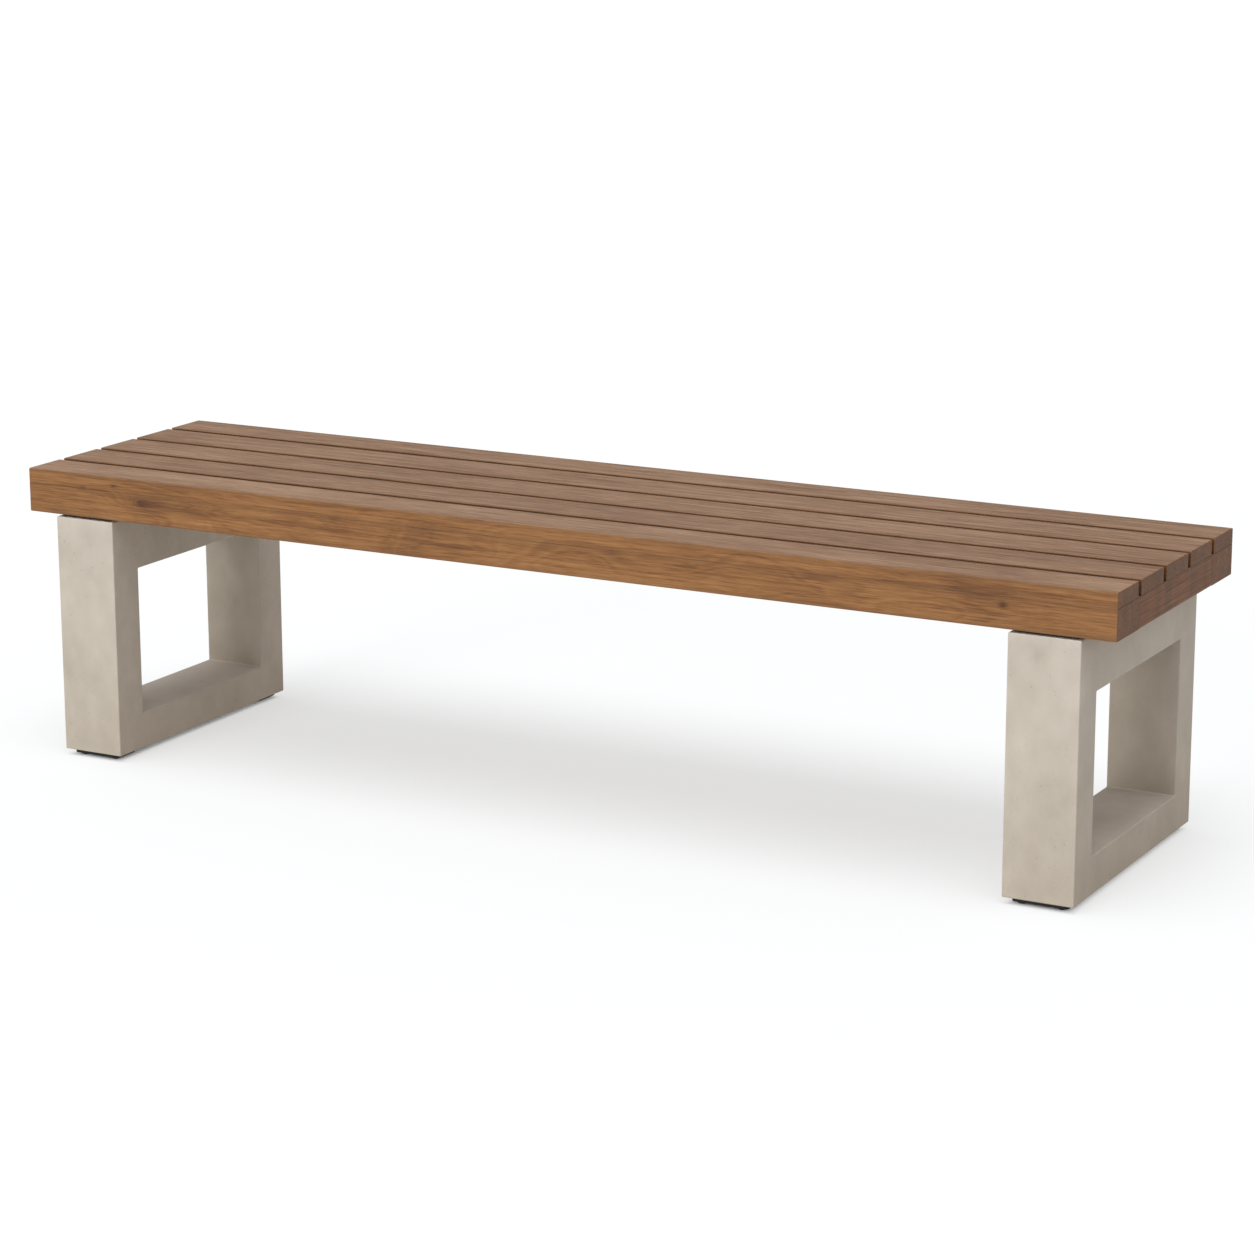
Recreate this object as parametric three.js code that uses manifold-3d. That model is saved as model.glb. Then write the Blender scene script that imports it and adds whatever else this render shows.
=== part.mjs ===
// A garden bench: a slatted teak seat on two cast-concrete leg frames with levelling glides.
// Millimetres, +Z up. X runs along the bench, Y from front (-) to back (+).
// The origin is on the floor, under the middle of the seat.

import * as THREE from 'three';
import { mergeVertices } from 'three/addons/utils/BufferGeometryUtils.js';
import Module from 'manifold-3d';

const wasm = await Module();
wasm.setup();

// Driving dimensions.
const benchLength = 1800;
const benchDepth = 458;
const benchHeight = 457;
const slatThickness = 23;
const outerSlatWidth = 78;
const slatGap = 11;
const beamWidth = 84;
const beamHeight = 45.5;
const legOverhang = 50;
const legWidth = 106;
const postThickness = 63.5;
const openingBottom = 65.7;
const openingTop = 300.5;
const glideHeight = 10;
const plateThickness = 3;
const touchGap = 0.3;

// Roundings: the radius along a section's corners, and the smaller bevel on a piece's ends.
// Corners at the seam between slats and frame are left nearly sharp, so the seam is a hairline.
const woodEase = 2.4;
const seamEase = 0.8;
const woodEndBevel = 0.6;
const concreteCorner = 2.5;
const concreteBevel = 1.5;
const openingCorner = 3;

// Heights worked out from the driving dimensions.
const slatBottom = benchHeight - slatThickness;
const beamTop = slatBottom - touchGap;
const seatBottom = benchHeight - slatThickness - beamHeight;
const plateTop = seatBottom - touchGap;
const plateBottom = plateTop - plateThickness;
const legTop = plateBottom - touchGap;
const legBottom = glideHeight;

// Places worked out from the driving dimensions.
const legCentreX = benchLength / 2 - legOverhang - legWidth / 2;
const beamInnerY = benchDepth / 2 - beamWidth;
const beamCentreY = benchDepth / 2 - beamWidth / 2;
const innerSlatCount = 3;
const innerSlatWidth = (benchDepth - 2 * outerSlatWidth - (innerSlatCount + 1) * slatGap) / innerSlatCount;

// Crosswise timbers, tenoned into the beams.
const railWidth = 84;
const bearerWidth = 70;
const bearerSpacing = 430;
const tenonLength = 25;
const tenonHeight = 22;
const tenonShoulder = 12;

// Steel between seat and leg.
const plateWidth = 90;
const plateInset = 8;
const boltOffsetY = 95;
const boltRadius = 5;
const boltHeadRadius = 8;
const boltHeadHeight = 10;
const boltClearance = 0.6;
const counterboreRadius = 13;
const counterboreDepth = 25;
const boltFlangeRadius = 10.5;
const boltFlangeThickness = 2;
const nutAcrossFlats = 17;
const nutHeight = 8;
const boltTail = 2;
const screwOffsetX = 33;
const screwOffsetY = 184;
const screwShankRadius = 2.2;
const screwHeadRadius = 4.6;
const screwHeadHeight = 2.6;
const screwDepth = 32;

// Levelling glides: a pad that swivels on the flange of a threaded stem.
const glideSpreadX = 29;
const glideOffsetY = 209;
const padRadius = 9;
const padEdge = 2.4;
const socketRadius = 5.4;
const socketFloor = 3;
const socketCeiling = 7.4;
const lipRadius = 4.5;
const stemRadius = 4;
const flangeRadius = 5;
const stemTop = 42;
const insertRadius = 6.5;
const insertLength = 30;
const boreRadius = 4.4;
const socketHoleDepth = 38;

// A moulded shoe under each end of a leg frame, pierced by that end's two glide pads.
const shoeWidth = 84;
const shoeLength = 49;
const shoeInset = 8;
const shoeBottom = 3.4;
const shoeCorner = 6;
const shoeBevel = 0.8;
const shoeClearance = 0.6;

const roundSegments = 16;
const cornerSegments = 2;

const material = {
  slatTeak: { color: 0x96826f, roughness: 0.78, metalness: 0 },
  frameTeak: { color: 0xa5734a, roughness: 0.7, metalness: 0 },
  concrete: { color: 0xc4bbb0, roughness: 0.9, metalness: 0 },
  blackSteel: { color: 0x1d1d1e, roughness: 0.5, metalness: 0.4 },
  zincSteel: { color: 0xa9abad, roughness: 0.4, metalness: 0.9 },
  blackPlastic: { color: 0x151515, roughness: 0.45, metalness: 0 },
  brass: { color: 0xb08d4a, roughness: 0.4, metalness: 0.9 },
};

const group = new THREE.Group();

function addMesh(name, geometry, look) {
  const mesh = new THREE.Mesh(geometry, new THREE.MeshStandardMaterial(look));
  mesh.name = name;
  group.add(mesh);
  return mesh;
}

// --- Booleans -------------------------------------------------------------------------------

// Drops the triangles that collapsed when their corners were merged.
function withoutSlivers(index) {
  const kept = [];
  for (let i = 0; i < index.length; i += 3) {
    const [a, b, c] = index.slice(i, i + 3);
    if (a !== b && b !== c && c !== a) {
      kept.push(a, b, c);
    }
  }
  return kept;
}

function toSolid(geometry) {
  const plain = geometry.index ? geometry.toNonIndexed() : geometry.clone();
  plain.deleteAttribute('normal');
  plain.deleteAttribute('uv');
  const merged = mergeVertices(plain, 1e-4);
  const vertProperties = new Float32Array(merged.attributes.position.array);
  const triVerts = new Uint32Array(withoutSlivers(Array.from(merged.index.array)));
  return new wasm.Manifold(new wasm.Mesh({ numProp: 3, vertProperties, triVerts }));
}

function toGeometry(solid) {
  const mesh = solid.getMesh();
  const geometry = new THREE.BufferGeometry();
  geometry.setAttribute('position', new THREE.BufferAttribute(new Float32Array(mesh.vertProperties), 3));
  geometry.setIndex(new THREE.BufferAttribute(new Uint32Array(mesh.triVerts), 1));
  geometry.computeVertexNormals();
  return geometry;
}

function cut(geometry, tools) {
  let solid = toSolid(geometry);
  for (const tool of tools) {
    solid = solid.subtract(toSolid(tool));
  }
  return toGeometry(solid);
}

function join(geometry, others) {
  let solid = toSolid(geometry);
  for (const other of others) {
    solid = solid.add(toSolid(other));
  }
  return toGeometry(solid);
}

// --- Shapes ---------------------------------------------------------------------------------

// A rectangle with rounded corners, given by its lowest corner and its size.
function roundedRectangle(path, left, bottom, width, height, lowRadius, highRadius = lowRadius) {
  const right = left + width;
  const top = bottom + height;
  path.absarc(right - lowRadius, bottom + lowRadius, lowRadius, -Math.PI / 2, 0, false);
  path.absarc(right - highRadius, top - highRadius, highRadius, 0, Math.PI / 2, false);
  path.absarc(left + highRadius, top - highRadius, highRadius, Math.PI / 2, Math.PI, false);
  path.absarc(left + lowRadius, bottom + lowRadius, lowRadius, Math.PI, 1.5 * Math.PI, false);
  path.closePath();
  return path;
}

// Extrudes a shape to a full length, with its end edges eased by the bevel.
function extrudeEased(shape, length, bevel) {
  const geometry = new THREE.ExtrudeGeometry(shape, {
    depth: length - 2 * bevel,
    bevelEnabled: true,
    bevelThickness: bevel,
    bevelSize: bevel,
    bevelOffset: -bevel,
    bevelSegments: cornerSegments,
    curveSegments: cornerSegments,
  });
  geometry.translate(0, 0, bevel - length / 2);
  return geometry;
}

// Turns a geometry drawn in the section plane (local X, Y) so that it runs along X.
function alongX(geometry) {
  const sectionToWorld = new THREE.Matrix4().makeBasis(
    new THREE.Vector3(0, 1, 0),
    new THREE.Vector3(0, 0, 1),
    new THREE.Vector3(1, 0, 0),
  );
  return geometry.applyMatrix4(sectionToWorld);
}

// Turns a geometry drawn in the section plane so that it runs along Y, with its width along X.
function alongY(geometry) {
  const sectionToWorld = new THREE.Matrix4().makeBasis(
    new THREE.Vector3(-1, 0, 0),
    new THREE.Vector3(0, 0, 1),
    new THREE.Vector3(0, 1, 0),
  );
  return geometry.applyMatrix4(sectionToWorld);
}

// A timber with eased edges: its section is width by height, centred across, standing on 0.
function timber(width, height, length, direction, lowEase, highEase) {
  const shape = new THREE.Shape();
  const section = roundedRectangle(shape, -width / 2, 0, width, height, lowEase, highEase);
  return direction(extrudeEased(section, length, woodEndBevel));
}

function uprightCylinder(radius, bottom, top, segments = roundSegments) {
  const geometry = new THREE.CylinderGeometry(radius, radius, top - bottom, segments);
  geometry.rotateX(Math.PI / 2);
  geometry.translate(0, 0, (bottom + top) / 2);
  return geometry;
}

// A turned piece: its profile is a list of [radius, height] that starts and ends on the axis,
// or goes round a ring's section.
function turned(profile, segments = roundSegments) {
  const points = profile.map(([radius, height]) => new THREE.Vector2(radius, height));
  if (points[0].x > 0) {
    points.push(points[0].clone());
  }
  const geometry = new THREE.LatheGeometry(points, segments);
  geometry.rotateX(Math.PI / 2);
  return geometry;
}

function at(geometry, x, y, z = 0) {
  return geometry.translate(x, y, z);
}

// --- Seat -----------------------------------------------------------------------------------

function makeSlats() {
  const widths = [outerSlatWidth, ...Array(innerSlatCount).fill(innerSlatWidth), outerSlatWidth];
  let frontEdge = -benchDepth / 2;
  widths.forEach((width, index) => {
    const slat = timber(width, slatThickness, benchLength, alongX, seamEase, woodEase);
    addMesh(`slat_${index + 1}`, at(slat, 0, frontEdge + width / 2, slatBottom), material.slatTeak);
    frontEdge += width + slatGap;
  });
}

// The crosswise timbers: where each stands, how wide it is and how wide its tenons are.
function crossTimbers() {
  const railX = benchLength / 2 - railWidth / 2;
  const rail = { width: railWidth, tenonWidth: railWidth - 2 * tenonShoulder };
  const bearer = { width: bearerWidth, tenonWidth: bearerWidth - 2 * tenonShoulder };
  return [
    { name: 'end_rail_left', x: -railX, ...rail },
    { name: 'cross_bearer_left', x: -bearerSpacing, ...bearer },
    { name: 'cross_bearer_middle', x: 0, ...bearer },
    { name: 'cross_bearer_right', x: bearerSpacing, ...bearer },
    { name: 'end_rail_right', x: railX, ...rail },
  ];
}

const tenonBottom = seatBottom + (beamHeight - tenonHeight) / 2;

function makeCrossTimbers() {
  const clearSpan = 2 * beamInnerY - 2 * touchGap;
  for (const piece of crossTimbers()) {
    const body = timber(piece.width, beamHeight - touchGap, clearSpan, alongY, woodEase, seamEase);
    at(body, piece.x, 0, seatBottom);
    const tenons = new THREE.BoxGeometry(piece.tenonWidth, clearSpan + 2 * tenonLength, tenonHeight);
    at(tenons, piece.x, 0, tenonBottom + tenonHeight / 2);
    addMesh(piece.name, join(body, [tenons]), material.frameTeak);
  }
}

function makeBeams() {
  for (const [name, side] of [['front_beam', -1], ['rear_beam', 1]]) {
    const beam = timber(beamWidth, beamHeight - touchGap, benchLength, alongX, woodEase, seamEase);
    at(beam, 0, side * beamCentreY, seatBottom);
    const mortises = crossTimbers().map((piece) => {
      const mortise = new THREE.BoxGeometry(
        piece.tenonWidth + 2 * touchGap,
        2 * (tenonLength + touchGap),
        tenonHeight + 2 * touchGap,
      );
      return at(mortise, piece.x, side * beamInnerY, tenonBottom + tenonHeight / 2);
    });
    const pilots = plateScrewPlaces()
      .filter((place) => place.side === side)
      .map((place) => {
        const radius = screwShankRadius + touchGap;
        const top = plateTop + screwDepth + touchGap;
        return at(uprightCylinder(radius, plateBottom, top, 12), place.x, place.y);
      });
    addMesh(name, cut(beam, [...mortises, ...pilots]), material.frameTeak);
  }
}

// --- Legs -----------------------------------------------------------------------------------

const hands = [['left', -1], ['right', 1]];

function glidePlaces() {
  const places = [];
  for (const [hand, sideX] of hands) {
    let number = 1;
    for (const y of [-glideOffsetY, glideOffsetY]) {
      for (const x of [-glideSpreadX, glideSpreadX]) {
        places.push({ hand, number, x: sideX * legCentreX + x, y });
        number += 1;
      }
    }
  }
  return places;
}

function boltPlaces() {
  const places = [];
  for (const [hand, sideX] of hands) {
    places.push({ hand, end: 'front', x: sideX * legCentreX, y: -boltOffsetY });
    places.push({ hand, end: 'rear', x: sideX * legCentreX, y: boltOffsetY });
  }
  return places;
}

function plateScrewPlaces() {
  const places = [];
  for (const [hand, sideX] of hands) {
    let number = 1;
    for (const side of [-1, 1]) {
      for (const x of [-screwOffsetX, screwOffsetX]) {
        places.push({ hand, number, side, x: sideX * legCentreX + x, y: side * screwOffsetY });
        number += 1;
      }
    }
  }
  return places;
}

// A closed rectangular frame of cast concrete, with bores for its bolts and glide inserts.
function makeLegFrames() {
  for (const [hand, sideX] of hands) {
    const outline = roundedRectangle(
      new THREE.Shape(), -benchDepth / 2, legBottom, benchDepth, legTop - legBottom, concreteCorner,
    );
    outline.holes.push(roundedRectangle(
      new THREE.Path(), -benchDepth / 2 + postThickness, openingBottom,
      benchDepth - 2 * postThickness, openingTop - openingBottom, openingCorner,
    ));
    const frame = alongX(extrudeEased(outline, legWidth, concreteBevel));
    at(frame, sideX * legCentreX, 0);
    const bores = [];
    for (const place of boltPlaces().filter((entry) => entry.hand === hand)) {
      const counterbore = uprightCylinder(counterboreRadius, openingTop - 5, openingTop + counterboreDepth);
      const shaftHole = uprightCylinder(boltRadius + boltClearance, openingTop, legTop + 5);
      bores.push(at(counterbore, place.x, place.y), at(shaftHole, place.x, place.y));
    }
    for (const place of glidePlaces().filter((entry) => entry.hand === hand)) {
      const socket = uprightCylinder(insertRadius + touchGap, legBottom - 5, legBottom + socketHoleDepth);
      bores.push(at(socket, place.x, place.y));
    }
    addMesh(`leg_frame_${hand}`, cut(frame, bores), material.concrete);
  }
}

// --- Steel between seat and legs ----------------------------------------------------------

function makeMountingPlates() {
  for (const [hand, sideX] of hands) {
    const plate = new THREE.BoxGeometry(plateWidth, benchDepth - 2 * plateInset, plateThickness);
    at(plate, sideX * legCentreX, 0, plateBottom + plateThickness / 2);
    const holes = [];
    for (const place of boltPlaces().filter((entry) => entry.hand === hand)) {
      const hole = uprightCylinder(boltRadius + boltClearance, plateBottom - 1, plateTop + 1);
      holes.push(at(hole, place.x, place.y));
    }
    for (const place of plateScrewPlaces().filter((entry) => entry.hand === hand)) {
      const seatRadius = screwHeadRadius + touchGap;
      const throatRadius = screwShankRadius + touchGap;
      const countersink = turned([
        [0, plateBottom - 1],
        [seatRadius, plateBottom - 1],
        [seatRadius, plateBottom],
        [throatRadius, plateBottom + screwHeadHeight],
        [throatRadius, plateTop + 1],
        [0, plateTop + 1],
      ], 12);
      holes.push(at(countersink, place.x, place.y));
    }
    addMesh(`mounting_plate_${hand}`, cut(plate, holes), material.blackSteel);
  }
}

function makePlateScrews() {
  for (const place of plateScrewPlaces()) {
    const head = plateBottom + touchGap;
    const screw = turned([
      [0, head],
      [screwHeadRadius - touchGap, head],
      [screwShankRadius, head + screwHeadHeight - touchGap],
      [screwShankRadius, plateTop + screwDepth - 4],
      [0, plateTop + screwDepth],
    ], 12);
    addMesh(`plate_screw_${place.hand}_${place.number}`, at(screw, place.x, place.y), material.zincSteel);
  }
}

// A flanged cap screw through the top of the leg frame, and the weld nut on the plate.
function makeLegBolts() {
  const shoulder = openingTop + counterboreDepth;
  const flangeTop = shoulder - touchGap;
  const headTop = flangeTop - boltFlangeThickness;
  const nutBottom = plateTop + touchGap;
  const nutTop = nutBottom + nutHeight;
  const hexRadius = nutAcrossFlats / Math.sqrt(3);
  const keyDepth = 5;
  for (const place of boltPlaces()) {
    const label = `${place.hand}_${place.end}`;
    const bolt = turned([
      [0, headTop - boltHeadHeight],
      [boltHeadRadius - 0.8, headTop - boltHeadHeight],
      [boltHeadRadius, headTop - boltHeadHeight + 0.8],
      [boltHeadRadius, headTop],
      [boltFlangeRadius, headTop],
      [boltFlangeRadius, flangeTop],
      [boltRadius, flangeTop],
      [boltRadius, nutTop + boltTail],
      [0, nutTop + boltTail],
    ]);
    const keyBottom = headTop - boltHeadHeight - 1;
    const key = uprightCylinder(4.6, keyBottom, keyBottom + keyDepth + 1, 6);
    addMesh(`leg_bolt_${label}`, at(cut(bolt, [key]), place.x, place.y), material.zincSteel);
    const nut = uprightCylinder(hexRadius, nutBottom, nutTop, 6);
    const thread = uprightCylinder(boltRadius + touchGap, nutBottom - 1, nutTop + 1);
    addMesh(`weld_nut_${label}`, at(cut(nut, [thread]), place.x, place.y), material.blackSteel);
  }
}

// --- Foot shoes and levelling glides --------------------------------------------------------

function makeFootShoes() {
  const top = legBottom - touchGap;
  for (const [hand, sideX] of hands) {
    for (const [end, sideY] of [['front', -1], ['rear', 1]]) {
      const outline = roundedRectangle(
        new THREE.Shape(), -shoeWidth / 2, -shoeLength / 2, shoeWidth, shoeLength, shoeCorner,
      );
      const shoe = extrudeEased(outline, top - shoeBottom, shoeBevel);
      const centreY = sideY * (benchDepth / 2 - shoeInset - shoeLength / 2);
      at(shoe, sideX * legCentreX, centreY, (top + shoeBottom) / 2);
      const holes = glidePlaces()
        .filter((place) => place.hand === hand && place.y * sideY > 0)
        .map((place) => {
          const hole = uprightCylinder(padRadius + shoeClearance, shoeBottom - 1, top + 1);
          return at(hole, place.x, place.y);
        });
      addMesh(`foot_shoe_${hand}_${end}`, cut(shoe, holes), material.blackPlastic);
    }
  }
}

function padGeometry() {
  const top = glideHeight - touchGap;
  return turned([
    [0, 0],
    [padRadius - padEdge, 0],
    [padRadius - 0.3 * padEdge, 0.3 * padEdge],
    [padRadius, padEdge],
    [padRadius, top - 1],
    [padRadius - 1, top],
    [lipRadius, top],
    [lipRadius, socketCeiling],
    [socketRadius, socketCeiling],
    [socketRadius, socketFloor],
    [0, socketFloor],
  ]);
}

function stemGeometry() {
  return turned([
    [0, socketFloor + touchGap],
    [flangeRadius, socketFloor + touchGap],
    [flangeRadius, socketCeiling - touchGap],
    [stemRadius, socketCeiling - touchGap],
    [stemRadius, stemTop - 1],
    [stemRadius - 1, stemTop],
    [0, stemTop],
  ]);
}

function insertGeometry() {
  const bottom = legBottom + touchGap;
  return turned([
    [boreRadius, bottom],
    [insertRadius, bottom],
    [insertRadius, bottom + insertLength],
    [boreRadius, bottom + insertLength],
  ]);
}

function makeGlides() {
  for (const place of glidePlaces()) {
    const label = `${place.hand}_${place.number}`;
    addMesh(`glide_pad_${label}`, at(padGeometry(), place.x, place.y), material.blackPlastic);
    addMesh(`glide_stem_${label}`, at(stemGeometry(), place.x, place.y), material.zincSteel);
    addMesh(`glide_insert_${label}`, at(insertGeometry(), place.x, place.y), material.brass);
  }
}

makeSlats();
makeBeams();
makeCrossTimbers();
makeLegFrames();
makeMountingPlates();
makePlateScrews();
makeLegBolts();
makeFootShoes();
makeGlides();

export default group;
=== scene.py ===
"""Looks for a slatted teak garden bench on two cast-concrete leg frames with levelling glides.

Metres, +Z up. X runs along the bench, the camera side is -Y. Each board, leg frame, leg bolt, foot
shoe and glide is modelled afresh in the place of its CAD node. The other fittings, all hidden, keep
their CAD mesh with a finish.
"""

import math

import bmesh
import bpy
from mathutils import Matrix, Vector, noise


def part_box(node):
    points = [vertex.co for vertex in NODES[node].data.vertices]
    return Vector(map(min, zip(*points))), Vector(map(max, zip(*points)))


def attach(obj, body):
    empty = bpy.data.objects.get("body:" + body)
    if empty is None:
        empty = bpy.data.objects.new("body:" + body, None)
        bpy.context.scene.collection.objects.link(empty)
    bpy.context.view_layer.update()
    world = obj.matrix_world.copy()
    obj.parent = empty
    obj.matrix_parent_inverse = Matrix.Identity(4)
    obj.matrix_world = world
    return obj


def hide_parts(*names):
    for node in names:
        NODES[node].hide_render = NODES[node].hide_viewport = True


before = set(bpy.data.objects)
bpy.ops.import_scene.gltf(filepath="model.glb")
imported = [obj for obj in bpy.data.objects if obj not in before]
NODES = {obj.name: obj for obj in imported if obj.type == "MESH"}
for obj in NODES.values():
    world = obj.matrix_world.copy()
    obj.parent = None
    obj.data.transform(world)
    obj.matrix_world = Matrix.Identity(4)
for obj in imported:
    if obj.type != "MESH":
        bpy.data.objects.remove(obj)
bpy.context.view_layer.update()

MM = 0.001
BENCH = "bench"
HANDS = ("left", "right")
ENDS = ("front", "rear")
GLIDE_NUMBERS = (1, 2, 3, 4)

# Eased edges, by what they join: an outer edge is rounded, an edge at a glued seam is nearly sharp.
OUTER_EASE = 2.4 * MM
SLAT_EASE = 1.3 * MM
SEAM_EASE = 0.35 * MM
END_EASE = 1.0 * MM
CORNER_STEPS = 5
LEAST_RADIUS = 0.02 * MM

# A board is divided along and across, so that its faces can waver a little, as planed by hand.
STATION_STEP = 24 * MM
FLAT_STEP = 9 * MM
HAND_WAVE = 0.10 * MM

# How far the frame's boards stay below the slats, and its cross boards short of the beams.
UNDER_SLATS = 0.1 * MM
BEAM_GAP = 0.2 * MM

# Cast concrete legs: the rounding of their edges, their opening, and the bores in them.
ARRIS = 1.8 * MM
OPENING_ARRIS = 2.2 * MM
LEG_STEP = 12 * MM
OPENING_SIDE = 63.5 * MM
OPENING_BOTTOM = 65.7 * MM
OPENING_TOP = 300.5 * MM
COUNTERBORE_RADIUS = 13 * MM
SHANK_BORE_RADIUS = 5.6 * MM
INSERT_BORE_RADIUS = 6.8 * MM
INSERT_BORE_DEPTH = 38 * MM
CUT_PAST = 1 * MM

# Leg bolts.
BOLT_SHANK_RADIUS = 5 * MM
BOLT_HEAD_RADIUS = 8 * MM
BOLT_HEAD_HEIGHT = 10 * MM
BOLT_FLANGE_THICKNESS = 2 * MM
BOLT_KEY_SIZE = 8 * MM
BOLT_KEY_DEPTH = 5 * MM
BOLT_SEAT_GAP = 0.3 * MM

# Foot shoes.
SHOE_CORNER = 6 * MM
SHOE_EDGE = 1.0 * MM
SHOE_HOLE_RADIUS = 9.6 * MM

# Glides: the pad's socket holds the stem's flange, and the stem above the flange is threaded.
PAD_BULGE = 1.4 * MM
PAD_NECK_RADIUS = 4.5 * MM
PAD_SOCKET_RADIUS = 5.4 * MM
PAD_SOCKET_BOTTOM = 3.0 * MM
PAD_SOCKET_TOP = 7.4 * MM
STEM_RADIUS = 4 * MM
STEM_POINT = 0.2 * MM
STEM_FLANGE_THICKNESS = 3.8 * MM
THREAD_PITCH = 1.25 * MM
THREAD_DEPTH = 0.62 * MM
THREAD_SEGMENTS = 24
THREAD_ROWS_PER_TURN = 6


# --- Camera, light and floor ----------------------------------------------------------------

def make_camera():
    """Looks down a little at the bench, from beyond its right end."""
    place = Vector((2.5210, -4.5805, 1.5476))
    yaw, pitch, roll = 0.4972, 0.2422, -0.0020
    forward = Vector((-math.sin(yaw) * math.cos(pitch), math.cos(yaw) * math.cos(pitch), -math.sin(pitch)))
    level_right = forward.cross(Vector((0, 0, 1))).normalized()
    level_up = level_right.cross(forward)
    right = math.cos(roll) * level_right + math.sin(roll) * level_up
    up = right.cross(forward)
    data = bpy.data.cameras.new("camera")
    data.sensor_width = 36
    data.lens = 102.44
    data.clip_end = 300
    camera = bpy.data.objects.new("camera", data)
    turn = Matrix((right, up, -forward)).transposed().to_4x4()
    camera.matrix_world = Matrix.Translation(place) @ turn
    bpy.context.scene.collection.objects.link(camera)
    bpy.context.scene.camera = camera


def add_sun(name, strength, spread, elevation, azimuth):
    """A soft sun that shines from an azimuth counted from the front (-Y) towards the left (-X)."""
    data = bpy.data.lights.new(name, "SUN")
    data.energy = strength * math.pi
    data.angle = math.radians(spread)
    lamp = bpy.data.objects.new(name, data)
    rise, swing = math.radians(elevation), math.radians(azimuth)
    towards = Vector((
        -math.cos(rise) * math.sin(swing),
        -math.cos(rise) * math.cos(swing),
        math.sin(rise),
    ))
    lamp.rotation_euler = towards.to_track_quat("Z", "Y").to_euler()
    bpy.context.scene.collection.objects.link(lamp)


def make_studio():
    """Even white surroundings, a broad light from above, and a low one from the front."""
    scene = bpy.context.scene
    scene.view_settings.view_transform = "Standard"
    world = bpy.data.worlds.new("studio")
    world.use_nodes = True
    background = world.node_tree.nodes["Background"]
    background.inputs["Color"].default_value = (1.0, 1.0, 1.0, 1.0)
    background.inputs["Strength"].default_value = 0.56
    scene.world = world
    add_sun("top_light", 0.60, 46, 77, 0)
    add_sun("front_light", 0.44, 26, 13, 5)


def make_floor():
    """A wide pale disc. Its faint glow is painted light that keeps it near white and lifts the
    shadows on it. The glow dies away right under the feet, as a painted contact shadow.
    """
    mesh = bpy.data.meshes.new("floor")
    shape = bmesh.new()
    bmesh.ops.create_circle(shape, cap_ends=True, segments=64, radius=90)
    shape.to_mesh(mesh)
    shape.free()
    floor = bpy.data.objects.new("floor", mesh)
    bpy.context.scene.collection.objects.link(floor)
    g = Graph("pale_floor")
    # Painted light: the floor glows. Within 5 cm of the feet the glow fades out, as a painted contact
    # shadow.
    glow = g.band(g.openness(0.05), 0.02, 0.26, 0.0, 0.57)
    g.shader.inputs["Base Color"].default_value = (0.350, 0.360, 0.366, 1)
    g.shader.inputs["Roughness"].default_value = 1.0
    g.shader.inputs["Specular IOR Level"].default_value = 0.0
    g.shader.inputs["Emission Color"].default_value = (1, 1, 1, 1)
    mesh.materials.append(g.finish(Emission_Strength=glow))


# --- Shader helpers -------------------------------------------------------------------------

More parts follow.
